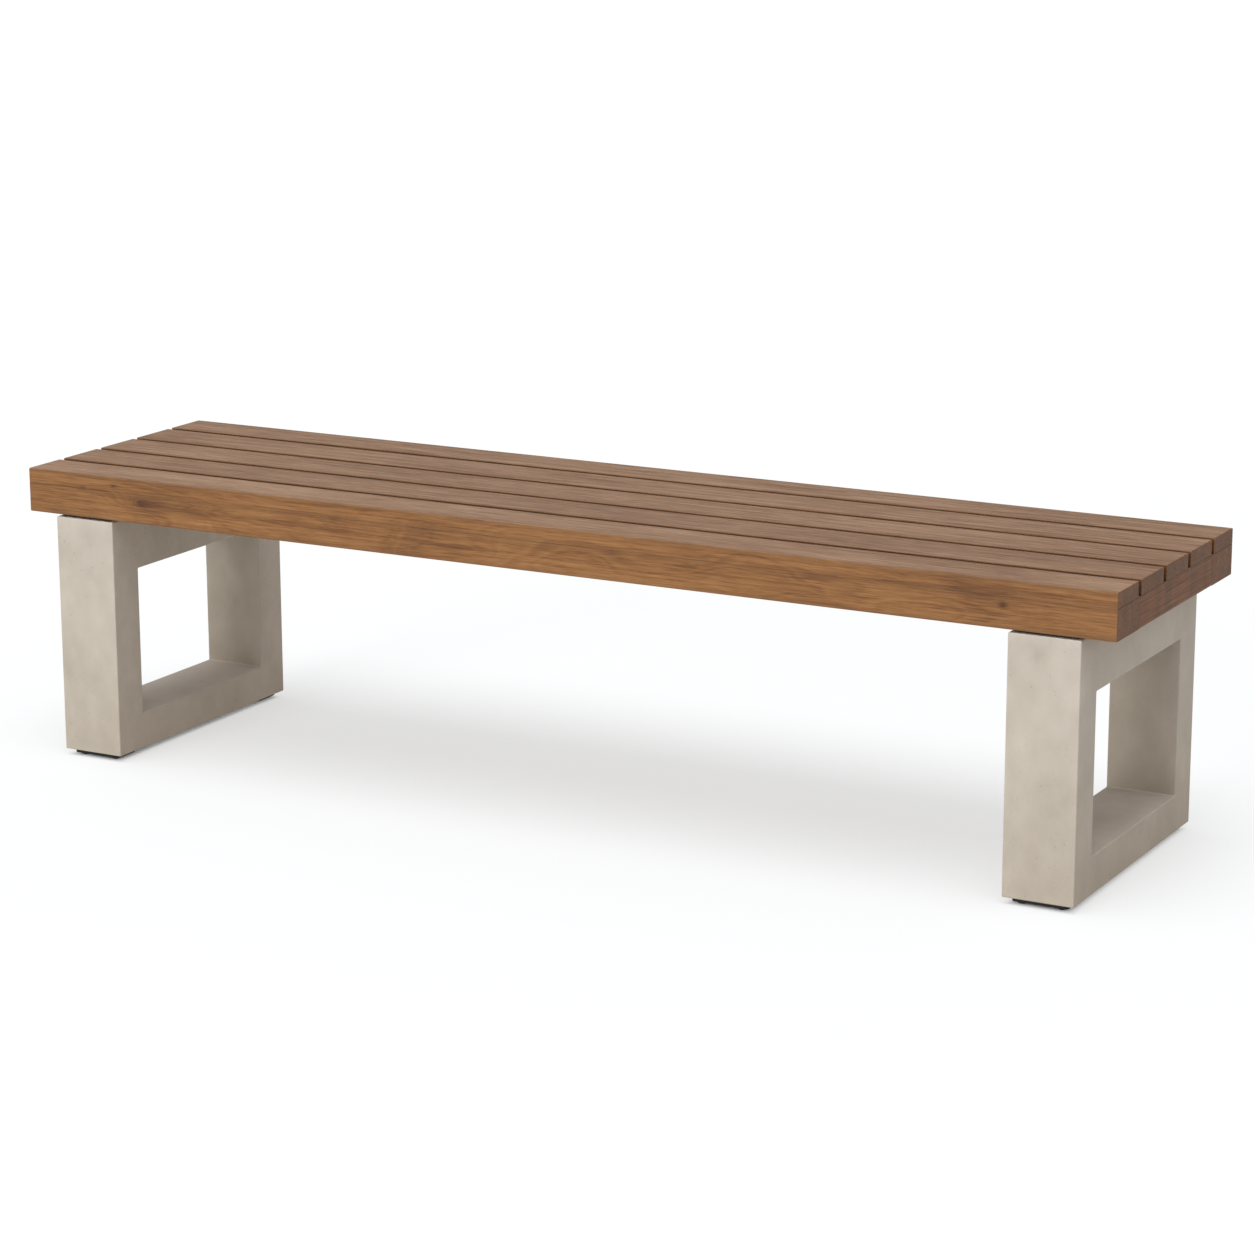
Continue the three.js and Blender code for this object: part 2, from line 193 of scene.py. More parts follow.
class Graph:
    """Short ways to wire a material. A source is an output socket, or a number where one will do."""

    def __init__(self, name):
        self.material = bpy.data.materials.new(name)
        self.material.use_nodes = True
        self.tree = self.material.node_tree
        self.shader = self.tree.nodes["Principled BSDF"]

    def feed(self, socket, source):
        if isinstance(source, bpy.types.NodeSocket):
            self.tree.links.new(source, socket)
        else:
            socket.default_value = source

    def math(self, operation, first, second=0.0):
        node = self.tree.nodes.new("ShaderNodeMath")
        node.operation = operation
        self.feed(node.inputs[0], first)
        self.feed(node.inputs[1], second)
        return node.outputs[0]

    def add(self, first, second):
        return self.math("ADD", first, second)

    def times(self, first, second):
        return self.math("MULTIPLY", first, second)

    def place(self):
        """The piece's own x, y and z in metres."""
        coordinates = self.tree.nodes.new("ShaderNodeTexCoord")
        split = self.tree.nodes.new("ShaderNodeSeparateXYZ")
        self.tree.links.new(coordinates.outputs["Object"], split.inputs[0])
        return split.outputs[0], split.outputs[1], split.outputs[2]

    def facing(self):
        """The x, y and z of the direction that a face looks in."""
        geometry = self.tree.nodes.new("ShaderNodeNewGeometry")
        split = self.tree.nodes.new("ShaderNodeSeparateXYZ")
        self.tree.links.new(geometry.outputs["True Normal"], split.inputs[0])
        return split.outputs[0], split.outputs[1], split.outputs[2]

    def vector(self, x, y, z):
        node = self.tree.nodes.new("ShaderNodeCombineXYZ")
        for socket, source in zip(node.inputs, (x, y, z)):
            self.feed(socket, source)
        return node.outputs[0]

    def noise(self, where, detail=2.0, roughness=0.5):
        node = self.tree.nodes.new("ShaderNodeTexNoise")
        node.inputs["Scale"].default_value = 1.0
        node.inputs["Detail"].default_value = detail
        node.inputs["Roughness"].default_value = roughness
        self.tree.links.new(where, node.inputs["Vector"])
        return node.outputs["Fac"]

    def line_noise(self, where, detail=2.0):
        node = self.tree.nodes.new("ShaderNodeTexNoise")
        node.noise_dimensions = "1D"
        node.inputs["Scale"].default_value = 1.0
        node.inputs["Detail"].default_value = detail
        self.tree.links.new(where, node.inputs["W"])
        return node.outputs["Fac"]

    def band(self, source, low, high, to_low=0.0, to_high=1.0):
        """Maps low..high onto to_low..to_high with soft ends, and holds it outside."""
        node = self.tree.nodes.new("ShaderNodeMapRange")
        node.interpolation_type = "SMOOTHSTEP"
        self.feed(node.inputs["Value"], source)
        node.inputs["From Min"].default_value = low
        node.inputs["From Max"].default_value = high
        node.inputs["To Min"].default_value = to_low
        node.inputs["To Max"].default_value = to_high
        return node.outputs["Result"]

    def ramp(self, source, stops):
        node = self.tree.nodes.new("ShaderNodeValToRGB")
        elements = node.color_ramp.elements
        while len(elements) < len(stops):
            elements.new(0.5)
        for element, (position, color) in zip(elements, stops):
            element.position = position
            element.color = (*color, 1)
        self.tree.links.new(source, node.inputs["Fac"])
        return node.outputs["Color"]

    def mix(self, amount, first, second, blend="MIX"):
        node = self.tree.nodes.new("ShaderNodeMix")
        node.data_type = "RGBA"
        node.blend_type = blend
        self.feed(node.inputs["Factor"], amount)
        for socket, source in ((node.inputs[6], first), (node.inputs[7], second)):
            if isinstance(source, tuple):
                source = (*source, 1)
            self.feed(socket, source)
        return node.outputs[2]

    def tint(self, amount, color, shade):
        """Multiplies a colour by a shade, as far as amount says."""
        return self.mix(amount, color, self.mix(1.0, color, shade, "MULTIPLY"))

    def bump(self, height, distance, strength):
        node = self.tree.nodes.new("ShaderNodeBump")
        node.inputs["Strength"].default_value = strength
        node.inputs["Distance"].default_value = distance
        self.tree.links.new(height, node.inputs["Height"])
        return node.outputs["Normal"]

    def edge(self):
        """1 on eased edges and 0 on flats, stored on the mesh."""
        node = self.tree.nodes.new("ShaderNodeAttribute")
        node.attribute_name = "edge"
        return node.outputs["Fac"]

    def openness(self, distance):
        """How open a point is to its surroundings within a distance: 0 in a tight gap, 1 in the clear."""
        node = self.tree.nodes.new("ShaderNodeAmbientOcclusion")
        node.samples = 4
        node.inputs["Distance"].default_value = distance
        return node.outputs["AO"]

    def finish(self, **sockets):
        for name, source in sockets.items():
            self.feed(self.shader.inputs[name.replace("_", " ")], source)
        return self.material


# --- Teak -----------------------------------------------------------------------------------

TEAK_STOPS = (
    (0.00, (0.050, 0.018, 0.006)),
    (0.30, (0.140, 0.057, 0.018)),
    (0.50, (0.222, 0.098, 0.031)),
    (0.70, (0.292, 0.138, 0.047)),
    (1.00, (0.400, 0.215, 0.090)),
)
# Greyer, lighter stops for the painted sheen on faces that look up.
TOP_SHEEN_STOPS = (
    (0.30, (0.140, 0.084, 0.052)),
    (0.50, (0.312, 0.210, 0.145)),
    (0.70, (0.470, 0.346, 0.256)),
)
END_TINTS = (
    (0.38, (0.460, 0.365, 0.235)),
    (0.62, (0.640, 0.475, 0.280)),
)
DARK_EDGE = (0.12, 0.055, 0.022)
# The colour of the painted shade in gaps and tight corners.
PAINTED_GAP_SHADE = (0.036, 0.014, 0.006)


def knot_marks(g, along, up, knots):
    """How far the rings bend round a board's knots, and how dark the knots stain it."""
    bend = stain = 0.0
    for knot_along, knot_up, length, height, depth in knots:
        u = g.times(g.add(along, -knot_along), 1 / length)
        v = g.times(g.add(up, -knot_up), 1 / height)
        blur = g.math("EXPONENT", g.times(g.add(g.times(u, u), g.times(v, v)), -1.0))
        bend = g.add(bend, g.times(blur, 0.4 * height))
        stain = g.add(stain, g.times(blur, depth))
    return bend, stain


def ring_radius(g, run, across, up, pith, figure):
    """The distance from the tree's pith, with the drift and wander that give the board its figure."""
    drift = g.noise(g.vector(g.times(run, 1.1), g.times(across, 4.0), g.times(up, 4.0)), 2.0)
    wander = g.noise(g.vector(g.times(run, 5.0), g.times(across, 16.0), g.times(up, 16.0)), 2.0)
    bend = g.add(g.times(drift, 0.060 * figure), g.times(wander, 0.012 * figure))
    from_pith_across = g.add(across, -pith[0])
    from_pith_up = g.add(up, -pith[1])
    square = g.add(g.times(from_pith_across, from_pith_across), g.times(from_pith_up, from_pith_up))
    return g.add(g.math("SQRT", square), bend)


def teak(name, grain, pith, tone=0.0, seed=0.0, figure=1.0, knots=()):
    """Oiled teak as a solid: growth rings round a pith line, long fibres, pores and knots.

    grain is "X" or "Y". pith is where the tree's centre line passes in the board's section, as
    (across, up). tone lightens or darkens the board. A knot is (along, up, length, height, depth).
    """
    g = Graph(name)
    x, y, z = g.place()
    along, across = (x, y) if grain == "X" else (y, x)
    run = g.add(along, seed)
    bend, stain = knot_marks(g, along, z, knots)
    radius = g.add(ring_radius(g, run, across, z, pith, figure), bend)

    def stretched(run_scale, scale_across, scale_up):
        return g.vector(g.times(run, run_scale), g.times(across, scale_across), g.times(z, scale_up))

    rings = g.line_noise(g.add(g.times(radius, 210.0), seed * 3.1), 2.0)
    fine_rings = g.line_noise(g.add(g.times(radius, 900.0), seed * 7.7), 1.0)
    fibre = g.noise(stretched(5.0, 300.0, 300.0), 4.0, 0.6)
    dashes = g.noise(stretched(26.0, 640.0, 640.0), 2.0, 0.6)
    pores = g.band(g.noise(stretched(60.0, 1500.0, 1500.0), 1.0), 0.60, 0.72)
    cloud = g.noise(stretched(2.4, 9.0, 22.0), 3.0)

    level = 0.5 + tone
    weights = ((rings, 0.24), (fine_rings, 0.20), (fibre, 0.55), (dashes, 0.64), (cloud, 0.44 * figure))
    for pattern, weight in weights:
        level = g.add(level, g.times(g.add(pattern, -0.5), weight))
    level = g.add(level, g.times(pores, -0.12))
    smoke = g.add(0.45, g.add(cloud, g.times(g.add(fibre, -0.5), 1.6)))
    level = g.add(level, g.times(g.times(stain, smoke), -1.0))

    g.shader.inputs["Specular IOR Level"].default_value = 0.25
    relief = g.add(g.times(fibre, 0.6), g.times(pores, -0.5))
    return g.finish(
        Base_Color=teak_color(g, level, y, z, seed),
        Roughness=g.band(fibre, 0.3, 0.7, 0.62, 0.50),
        Normal=g.bump(relief, 0.25 * MM, 0.35),
    )


def teak_color(g, level, y, z, seed):
    """The tops are mixed towards a greyer, lighter brown, a painted sheen. The seat's two ends, mostly
    cut across the fibres, turn darker in uneven bands. Eased edges are darker, and gaps and tight
    corners get a painted shade."""
    facing = g.facing()
    color = g.ramp(level, TEAK_STOPS)
    # Painted sheen: faces that look up are mixed up to half way towards the greyer, lighter stops.
    painted_top_sheen = g.band(facing[2], 0.60, 0.95, 0.0, 0.50)
    color = g.mix(painted_top_sheen, color, g.ramp(level, TOP_SHEEN_STOPS))
    end_face = g.band(g.math("ABSOLUTE", facing[0]), 0.75, 0.95)
    end_bands = g.noise(g.vector(seed, g.times(y, 48.0), g.times(z, 12.0)), 2.0)
    color = g.tint(end_face, color, g.ramp(end_bands, END_TINTS))
    # Eased edges are darkened.
    color = g.mix(g.times(g.edge(), 0.30), color, DARK_EDGE)
    # Painted shade: points closed in within 5 cm, in the gaps and where boards meet, are darkened.
    painted_shade_in_gaps = g.band(g.openness(0.05), 0.20, 0.88, 0.88, 0.0)
    return g.mix(painted_shade_in_gaps, color, PAINTED_GAP_SHADE)


# --- Concrete, steel, plastic ---------------------------------------------------------------

CONCRETE_STOPS = (
    (0.00, (0.284, 0.247, 0.201)),
    (0.35, (0.407, 0.358, 0.300)),
    (0.60, (0.461, 0.409, 0.348)),
    (1.00, (0.556, 0.503, 0.443)),
)


def concrete():
    """Smooth cast concrete: soft clouds, trowel haze, fine sand grain and a few pinholes.

    Faces that look up are painted lighter, as painted top light. Sides closed in by the floor and the
    seat get a warmer, darker painted shade than faces in the open, and most of all the broad sides of
    a leg under the seat.
    """
    g = Graph("cast_concrete")
    x, y, z = g.place()

    def mottle(scale, scale_up, detail, roughness=0.5):
        where = g.vector(g.times(x, scale), g.times(y, scale), g.times(z, scale_up))
        return g.noise(where, detail, roughness)

    cloud = mottle(9.0, 7.0, 4.0, 0.55)
    haze = mottle(38.0, 26.0, 3.0)
    sand = mottle(700.0, 700.0, 2.0)
    pinholes = g.band(mottle(260.0, 260.0, 0.0), 0.82, 0.86)
    facing = g.facing()
    level_face = g.band(facing[2], 0.5, 0.9)

    level = 0.5
    for pattern, weight in ((cloud, 0.75), (haze, 0.55), (sand, 0.14)):
        level = g.add(level, g.times(g.add(pattern, -0.5), weight))
    # Painted light: faces that look up are made lighter through level_face.
    for mark, weight in ((pinholes, -0.3), (g.edge(), 0.10), (level_face, 0.45)):
        level = g.add(level, g.times(mark, weight))
    color = g.ramp(level, CONCRETE_STOPS)

    openness = g.openness(0.4)
    side_face = g.add(1.0, g.times(level_face, -1.0))
    # Painted shade: sides closed in within 0.4 m, low on the legs and under the seat, are made darker and
    # warmer.
    painted_shelter_shade = g.times(g.band(openness, 0.95, 0.30), side_face)
    color = g.tint(painted_shelter_shade, color, (0.74, 0.71, 0.645))
    # Painted shade: the broad sides of a leg, closed in under the seat, are made darker still.
    painted_side_shade = g.times(g.band(openness, 0.95, 0.55), g.math("ABSOLUTE", facing[0]))
    color = g.tint(painted_side_shade, color, (0.92, 0.87, 0.83))

    relief = g.add(g.times(sand, 0.3), g.add(g.times(haze, 0.5), g.times(pinholes, -2.0)))
    return g.finish(
        Base_Color=color,
        Roughness=g.band(haze, 0.3, 0.7, 0.78, 0.90),
        Normal=g.bump(relief, 0.3 * MM, 0.35),
    )


def metal(name, low, high, roughness, grain_scale):
    """Steel or brass with a fine tumbled grain that varies its colour and gloss."""
    g = Graph(name)
    x, y, z = g.place()
    where = g.vector(g.times(x, grain_scale), g.times(y, grain_scale), g.times(z, grain_scale))
    grain = g.noise(where, 3.0)
    g.shader.inputs["Metallic"].default_value = 1.0
    return g.finish(
        Base_Color=g.ramp(grain, ((0.3, low), (0.7, high))),
        Roughness=g.band(grain, 0.3, 0.7, roughness - 0.08, roughness + 0.08),
        Normal=g.bump(grain, 0.05 * MM, 0.3),
    )


def coated(name, low, high, roughness, grain_scale, depth):
    """Powder coat or moulded nylon: a dark skin with a fine orange-peel surface."""
    g = Graph(name)
    x, y, z = g.place()
    where = g.vector(g.times(x, grain_scale), g.times(y, grain_scale), g.times(z, grain_scale))
    grain = g.noise(where, 2.0)
    g.shader.inputs["Specular IOR Level"].default_value = 0.15
    return g.finish(
        Base_Color=g.ramp(grain, ((0.3, low), (0.7, high))),
        Roughness=g.band(grain, 0.3, 0.7, roughness - 0.07, roughness + 0.07),
        Normal=g.bump(grain, depth, 0.4),
    )


# --- Mesh helpers ---------------------------------------------------------------------------

def link(name, shape, edges=None):
    """Turns a bmesh into a smooth-shaded object whose flats stay flat."""
    bmesh.ops.recalc_face_normals(shape, faces=shape.faces)
    mesh = bpy.data.meshes.new(name)
    shape.to_mesh(mesh)
    shape.free()
    mesh.shade_smooth()
    values = edges if edges is not None else [0.0] * len(mesh.vertices)
    layer = mesh.attributes.new("edge", "FLOAT", "POINT")
    layer.data.foreach_set("value", values)
    piece = bpy.data.objects.new(name, mesh)
    bpy.context.scene.collection.objects.link(piece)
    return piece


def keep_flats_flat(piece, angle=50):
    """Shades large faces as flat, and leaves edges beyond an angle sharp."""
    piece.data.set_sharp_from_angle(angle=math.radians(angle))
    weighted = piece.modifiers.new("flats", "WEIGHTED_NORMAL")
    weighted.keep_sharp = True
    weighted.weight = 80


def settle(piece, node, body, material):
    """Gives a piece its finish and its body, and hides the CAD node that it stands for."""
    piece.data.materials.clear()
    piece.data.materials.append(material)
    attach(piece, body)
    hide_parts(node)


def corner_arc(centre, radius, start, steps):
    """Points of a quarter turn that starts at an angle, with 1 for their edge mark."""
    points = []
    for step in range(steps + 1):
        angle = math.radians(start + 90 * step / steps)
        points.append((centre[0] + radius * math.cos(angle), centre[1] + radius * math.sin(angle), 1.0))
    return points


def section(low, high, radii, inset, flat_step):
    """A rounded rectangle, counterclockwise, moved in by an inset. radii: low-low, high-low,
    high-high, low-high. Flats are divided so that they can carry a hand-planed waver."""
    corners = (
        ((low[0], low[1]), (1, 1), 180),
        ((high[0], low[1]), (-1, 1), 270),
        ((high[0], high[1]), (-1, -1), 0),
        ((low[0], high[1]), (1, -1), 90),
    )
    arcs = []
    for (corner, inward, start), radius in zip(corners, radii):
        centre = (corner[0] + inward[0] * radius, corner[1] + inward[1] * radius)
        shrink = max(radius - inset, LEAST_RADIUS)
        slide = max(inset - radius, 0.0)
        centre = (centre[0] + inward[0] * slide, centre[1] + inward[1] * slide)
        arcs.append(corner_arc(centre, shrink, start, CORNER_STEPS))
    spans = [
        max(1, round((high[0] - low[0]) / flat_step)),
        max(1, round((high[1] - low[1]) / flat_step)),
    ] * 2
    points = []
    for index, arc in enumerate(arcs):
        points += arc
        after = arcs[(index + 1) % 4][0]
        last = arc[-1]
        for step in range(1, spans[index]):
            share = step / spans[index]
            points.append((
                last[0] + share * (after[0] - last[0]),
                last[1] + share * (after[1] - last[1]),
                0.0,
            ))
    return points


def stations(low, high, ease, step):
    """Where a swept piece has its rings, as (along, inset): rounded at both ends."""
    rings = []
    for k in range(CORNER_STEPS + 1):
        angle = math.radians(90 * k / CORNER_STEPS)
        rings.append((ease * (1 - math.cos(angle)), ease * (1 - math.sin(angle))))
    count = max(2, round((high - low - 2 * ease) / step))
    middle = [
        (low + ease + (high - low - 2 * ease) * k / count, 0.0)
        for k in range(1, count)
    ]
    start = [(low + offset, inset) for offset, inset in rings]
    finish = [(high - offset, inset) for offset, inset in reversed(rings)]
    return start + middle + finish


def tube(shape, loops):
    """Joins rings of points into an open tube."""
    for first, second in zip(loops, loops[1:]):
        for k in range(len(first)):
            after = (k + 1) % len(first)
            shape.faces.new((first[k], first[after], second[after], second[k]))


def skin(shape, loops):
    """Joins rings of points into a closed tube with flat ends."""
    tube(shape, loops)
    shape.faces.new(loops[0])
    shape.faces.new(loops[-1])


def sweep(name, low, high, along, radii, wave=0.0):
    """A board: its eased section swept along X or Y between two corners of its box."""
    a, c = (0, 1) if along == "X" else (1, 0)
    shape = bmesh.new()
    edges = []
    loops = []
    for distance, inset in stations(low[a], high[a], END_EASE, STATION_STEP):
        loop = []
        for across, up, mark in section((low[c], low[2]), (high[c], high[2]), radii, inset, FLAT_STEP):
            place = [0.0, 0.0, up]
            place[a], place[c] = distance, across
            if wave and not inset:
                spot = Vector((place[0] * 6, place[1] * 22, place[2] * 22))
                shift = wave * noise.noise(spot)
                place[c] += shift * (0.5 if across > (low[c] + high[c]) / 2 else -0.5)
                place[2] += shift * (0.5 if up > (low[2] + high[2]) / 2 else -0.5)
            loop.append(shape.verts.new(place))
            edges.append(1.0 if inset else mark)
        loops.append(loop)
    skin(shape, loops)
    piece = link(name, shape, edges)
    keep_flats_flat(piece)
    return piece


def revolve(name, profile, centre, segments=48, angle=40):
    """A turned piece: profile is [(radius, height), ...] and starts and ends on the axis. A radius
    may be a function of the angle, for a hexagon or a thread."""
    shape = bmesh.new()
    loops = []
    for radius, height in profile:
        if radius == 0:
            loops.append([shape.verts.new((centre[0], centre[1], height))])
            continue
        loop = []
        for k in range(segments):
            turn = 2 * math.pi * k / segments
            reach = radius(turn) if callable(radius) else radius
            loop.append(shape.verts.new((
                centre[0] + reach * math.cos(turn),
                centre[1] + reach * math.sin(turn),
                height,
            )))
        loops.append(loop)
    for first, second in zip(loops, loops[1:]):
        for k in range(segments):
            after = (k + 1) % segments
            corners = [first[k % len(first)], first[after % len(first)]]
            corners += [second[after % len(second)], second[k % len(second)]]
            shape.faces.new(list(dict.fromkeys(corners)))
    piece = link(name, shape)
    keep_flats_flat(piece, angle)
    return piece


def rounded(radius, height, ease, steps=4):
    """A quarter-round for a turned profile, from its flat lower end up to its wall."""
    points = []
    for k in range(steps + 1):
        turn = math.radians(90 * k / steps)
        points.append((radius - ease * (1 - math.sin(turn)), height + ease * (1 - math.cos(turn))))
    return points


def middle_of(node):
    """The middle of a node's box, which is on its axis for a turned part."""
    low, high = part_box(node)
    return 0.5 * (low + high)


def bore_tool(centre, radius, bottom, top):
    """An upright cylinder for bore to cut with."""
    return revolve("bore_tool", [(0, bottom), (radius, bottom), (radius, top), (0, top)], centre)


def bore(piece, tool):
    """Cuts a tool's shape out of a piece and drops the tool."""
    cutter = piece.modifiers.new("bore", "BOOLEAN")
    cutter.operation = "DIFFERENCE"
    cutter.solver = "EXACT"
    cutter.object = tool
    bpy.context.view_layer.objects.active = piece
    bpy.ops.object.modifier_move_to_index(modifier=cutter.name, index=0)
    bpy.ops.object.modifier_apply(modifier=cutter.name)
    bpy.data.objects.remove(tool)


# --- Seat -----------------------------------------------------------------------------------

# The front board's smoky knots and small pin knots, as (along, up from the middle of the face,
# length, height, depth).
FRONT_KNOTS = (
    (-0.686, -1 * MM, 0.012, 0.006, 0.22),
    (-0.676, -2 * MM, 0.042, 0.013, 0.18),
    (-0.590, -5 * MM, 0.100, 0.008, 0.14),
    (-0.440, -6 * MM, 0.120, 0.006, 0.18),
    (-0.797, 13 * MM, 0.006, 0.003, 0.32),
    (-0.739, 20 * MM, 0.006, 0.003, 0.28),
    (-0.335, 7 * MM, 0.016, 0.009, 0.14),
    (-0.130, -12 * MM, 0.040, 0.004, 0.16),
    (0.736, -1 * MM, 0.006, 0.005, 0.40),
    (0.700, 14 * MM, 0.060, 0.012, 0.20),
)
SLAT_TONES = {2: -0.07, 3: -0.05, 4: -0.06, 5: -0.06}
FRAME_RADII = (OUTER_EASE, OUTER_EASE, SEAM_EASE, SEAM_EASE)
CROSS_BOARDS = (
    "end_rail_left",
    "cross_bearer_left",
    "cross_bearer_middle",
    "cross_bearer_right",
    "end_rail_right",
)


def make_seat():
    """Five slats, two beams, two end rails and three bearers, each its own board."""
    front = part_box("front_beam")[0].y
    face_middle = 0.5 * (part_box("front_beam")[0].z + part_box("slat_1")[1].z)
    knots = [(along, face_middle + up, *size) for along, up, *size in FRONT_KNOTS]
    front_pith = (front + 0.16, face_middle - 0.02)
    rear_pith = (-front + 0.14, face_middle)
    front_finish = teak("teak_front", "X", front_pith, seed=2.0, knots=knots)
    rear_finish = teak("teak_rear", "X", rear_pith, tone=-0.02, seed=83.0, figure=0.9)
    make_slats(front_finish)
    make_beam("front_beam", front_finish)
    make_beam("rear_beam", rear_finish)
    make_cross_boards()


def make_slats(front_finish):
    """The front slat shares the front beam's figure, and each other slat has its own."""
    for number in range(1, 6):
        node = f"slat_{number}"
        low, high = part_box(node)
        front_ease = OUTER_EASE if number == 1 else SLAT_EASE
        rear_ease = OUTER_EASE if number == 5 else SLAT_EASE
        radii = (SEAM_EASE, SEAM_EASE, rear_ease, front_ease)
        board = sweep(f"teak_{node}", low, high, "X", radii, HAND_WAVE)
        finish = front_finish
        if number > 1:
            pith = (0.5 * (low.y + high.y) - 0.19 + 0.03 * number, low.z - 0.02 * number)
            tone = SLAT_TONES[number]
            finish = teak(f"teak_{number}", "X", pith, tone, seed=11.3 * number, figure=0.6)
        settle(board, node, BENCH, finish)


def make_beam(node, finish):
    low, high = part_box(node)
    high.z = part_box("slat_1")[0].z - UNDER_SLATS
    board = sweep(f"teak_{node}", low, high, "X", FRAME_RADII, HAND_WAVE)
    settle(board, node, BENCH, finish)


def make_cross_boards():
    """The rails and bearers run from beam to beam, and stop short of their hidden tenons."""
    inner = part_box("front_beam")[1].y
    for order, node in enumerate(CROSS_BOARDS, 1):
        low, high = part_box(node)
        low.y, high.y = inner + BEAM_GAP, -inner - BEAM_GAP
        high.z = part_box("slat_1")[0].z - UNDER_SLATS
        pith = (low.x - 0.05, low.z + 0.10)
        finish = teak(f"teak_{node}", "Y", pith, tone=0.02, seed=31.7 * order, figure=0.2)
        board = sweep(f"teak_{node}", low, high, "Y", FRAME_RADII)
        settle(board, node, BENCH, finish)


# --- Leg frames -----------------------------------------------------------------------------

def leg_outline(low, high, inset):
    """The frame's outer and inner outlines in the YZ plane, moved into the concrete by an inset."""
    outer = section((low.y, low.z), (high.y, high.z), (ARRIS,) * 4, inset, LEG_STEP)
    opening_low = (low.y + OPENING_SIDE - inset, OPENING_BOTTOM - inset)
    opening_high = (high.y - OPENING_SIDE + inset, OPENING_TOP + inset)
    inner = section(opening_low, opening_high, (OPENING_ARRIS,) * 4, 0.0, LEG_STEP)
    return outer, inner


def make_leg_frame(hand, finish):
    """A closed rectangular frame: two tubes, inner and outer, joined by flat faces at both ends."""
    node = f"leg_frame_{hand}"
    low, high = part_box(node)
    shape = bmesh.new()
    edges = []
    outer_loops, inner_loops = [], []
    for distance, inset in stations(low.x, high.x, ARRIS, LEG_STEP):
        for loops, outline in zip((outer_loops, inner_loops), leg_outline(low, high, inset)):
            loop = []
            for y, z, mark in outline:
                loop.append(shape.verts.new((distance, y, z)))
                edges.append(1.0 if inset else mark)
            loops.append(loop)
    tube(shape, outer_loops)
    tube(shape, inner_loops)
    for end in (0, -1):
        rims = []
        for ring in (outer_loops[end], inner_loops[end]):
            rims += [shape.edges.get((ring[k - 1], ring[k])) for k in range(len(ring))]
        bmesh.ops.triangle_fill(shape, edges=rims, use_beauty=True)
    piece = link(f"concrete_{node}", shape, edges)
    keep_flats_flat(piece)
    cut_bores(piece, hand)
    settle(piece, node, BENCH, finish)


def cut_bores(piece, hand):
    """Counterbores for the leg bolts in the opening's ceiling, and sockets for the glide inserts."""
    leg_low, leg_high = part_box(f"leg_frame_{hand}")
    for end in ENDS:
        bolt = f"leg_bolt_{hand}_{end}"
        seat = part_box(bolt)[0].z + BOLT_HEAD_HEIGHT + BOLT_FLANGE_THICKNESS + BOLT_SEAT_GAP
        bore(piece, bore_tool(middle_of(bolt), COUNTERBORE_RADIUS, OPENING_TOP - CUT_PAST, seat))
        bore(piece, bore_tool(middle_of(bolt), SHANK_BORE_RADIUS, seat - CUT_PAST, leg_high.z + CUT_PAST))
    for number in GLIDE_NUMBERS:
        centre = middle_of(f"glide_insert_{hand}_{number}")
        top = leg_low.z + INSERT_BORE_DEPTH
        bore(piece, bore_tool(centre, INSERT_BORE_RADIUS, leg_low.z - CUT_PAST, top))


# --- Fittings -------------------------------------------------------------------------------

def hexagon(across_flats):
    """A hexagon's reach from its centre, as a function of the angle."""
    apothem = across_flats / 2

    def reach(turn):
        sector = math.radians(60)
        return apothem / math.cos((turn + sector / 2) % sector - sector / 2)

    return reach


def make_leg_bolts(steel):
    """Flanged cap screws: smooth heads with a hexagon key socket, eased at the rim."""
    key = hexagon(BOLT_KEY_SIZE)

    def key_mouth(turn):
        return key(turn) + 0.5 * MM

    for hand in HANDS:
        for end in ENDS:
            node = f"leg_bolt_{hand}_{end}"
            low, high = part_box(node)
            flange = 0.5 * (high.x - low.x)
            head_top = low.z + BOLT_HEAD_HEIGHT
            flange_top = head_top + BOLT_FLANGE_THICKNESS
            socket = low.z + BOLT_KEY_DEPTH
            profile = [(0, socket), (key, socket), (key, low.z + 0.4 * MM), (key_mouth, low.z)]
            profile += rounded(BOLT_HEAD_RADIUS, low.z, 0.9 * MM)
            profile += [(BOLT_HEAD_RADIUS, head_top), (flange - 0.5 * MM, head_top)]
            profile += [(flange, head_top + 0.5 * MM), (flange, flange_top)]
            profile += [(BOLT_SHANK_RADIUS, flange_top), (BOLT_SHANK_RADIUS, high.z - 0.8 * MM)]
            profile += [(BOLT_SHANK_RADIUS - 0.8 * MM, high.z), (0, high.z)]
            bolt = revolve(f"steel_{node}", profile, middle_of(node), segments=72)
            settle(bolt, node, BENCH, steel)


def make_foot_shoes(nylon):
    """Flat black shoes with soft rims under the ends of the legs, each pierced by two pads."""
    for hand in HANDS:
        for end, numbers in (("front", (1, 2)), ("rear", (3, 4))):
            node = f"foot_shoe_{hand}_{end}"
            low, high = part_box(node)
            shape = bmesh.new()
            loops = []
            for height, inset in stations(low.z, high.z, SHOE_EDGE, STATION_STEP):
                rim = section((low.x, low.y), (high.x, high.y), (SHOE_CORNER,) * 4, inset, FLAT_STEP)
                loops.append([shape.verts.new((x, y, height)) for x, y, mark in rim])
            skin(shape, loops)
            shoe = link(f"nylon_{node}", shape)
            for number in numbers:
                centre = middle_of(f"glide_pad_{hand}_{number}")
                bore(shoe, bore_tool(centre, SHOE_HOLE_RADIUS, low.z - CUT_PAST, high.z + CUT_PAST))
            keep_flats_flat(shoe)
            settle(shoe, node, BENCH, nylon)


